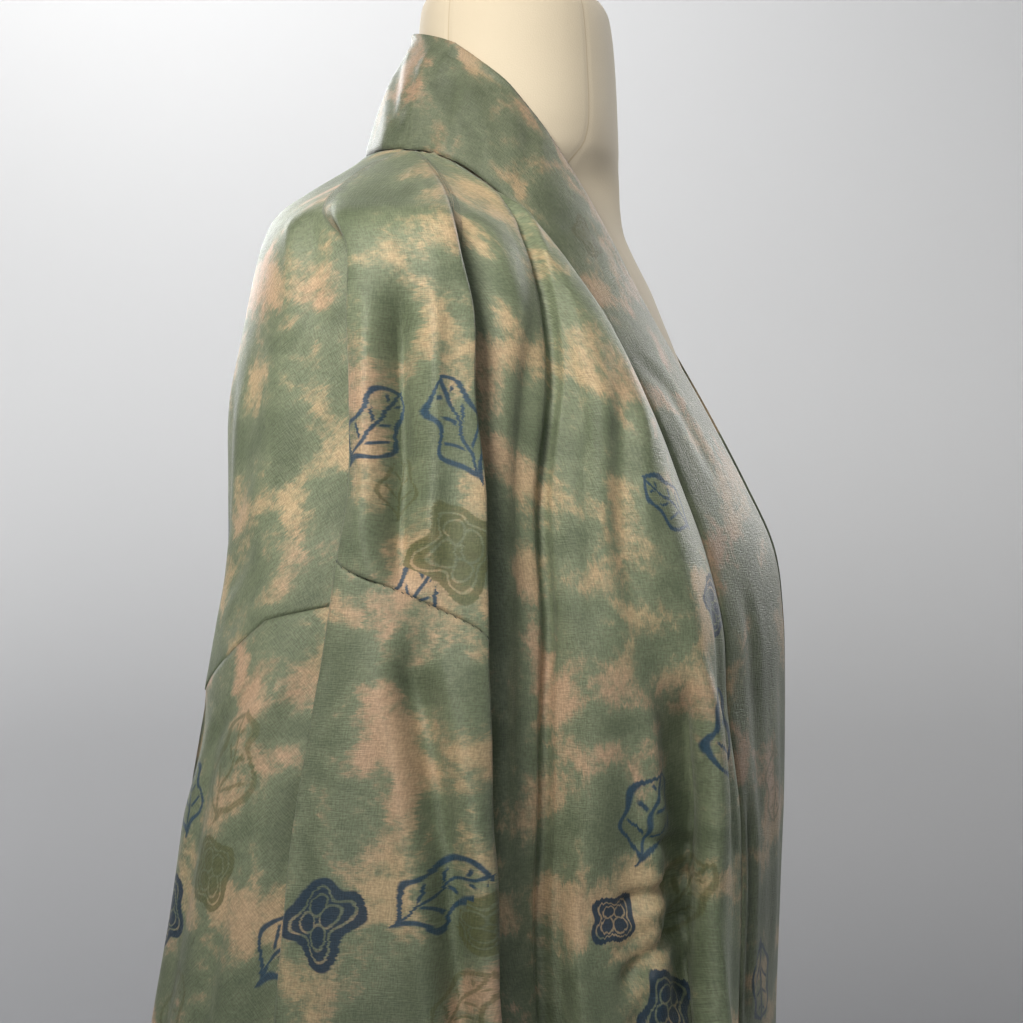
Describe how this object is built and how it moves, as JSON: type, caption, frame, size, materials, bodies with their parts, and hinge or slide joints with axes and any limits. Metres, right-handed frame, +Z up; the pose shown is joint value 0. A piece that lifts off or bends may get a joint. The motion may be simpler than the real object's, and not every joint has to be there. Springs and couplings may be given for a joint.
{
  "type": "haori kimono jacket worn on a limbless dress form with a round stand",
  "caption": "Open kimono jacket with collar band, hanging bag sleeves and gussets, on a limbless dress form with pole and round base.",
  "frame": {"origin": "centre of the stand's underside", "axes": "+Z up along the pole, the wearer faces -Y and the wearer's right side is at -X"},
  "size_m": [0.449, 0.3536, 1.4384],
  "materials": {
    "cloth": "soft silk sheen",
    "collar_cloth": "soft silk sheen",
    "form_cover": "matt cotton",
    "steel": "brushed",
    "base": "satin black"
  },
  "bodies": {
    "root": {"body_right": "cloth", "body_left": "cloth", "sleeve_right": "cloth", "sleeve_left": "cloth", "gusset_right": "cloth", "gusset_left": "cloth", "collar": "collar_cloth", "dress_form": "form_cover", "stand_pole": "steel", "stand_base": "base"}
  },
  "joints": []
}
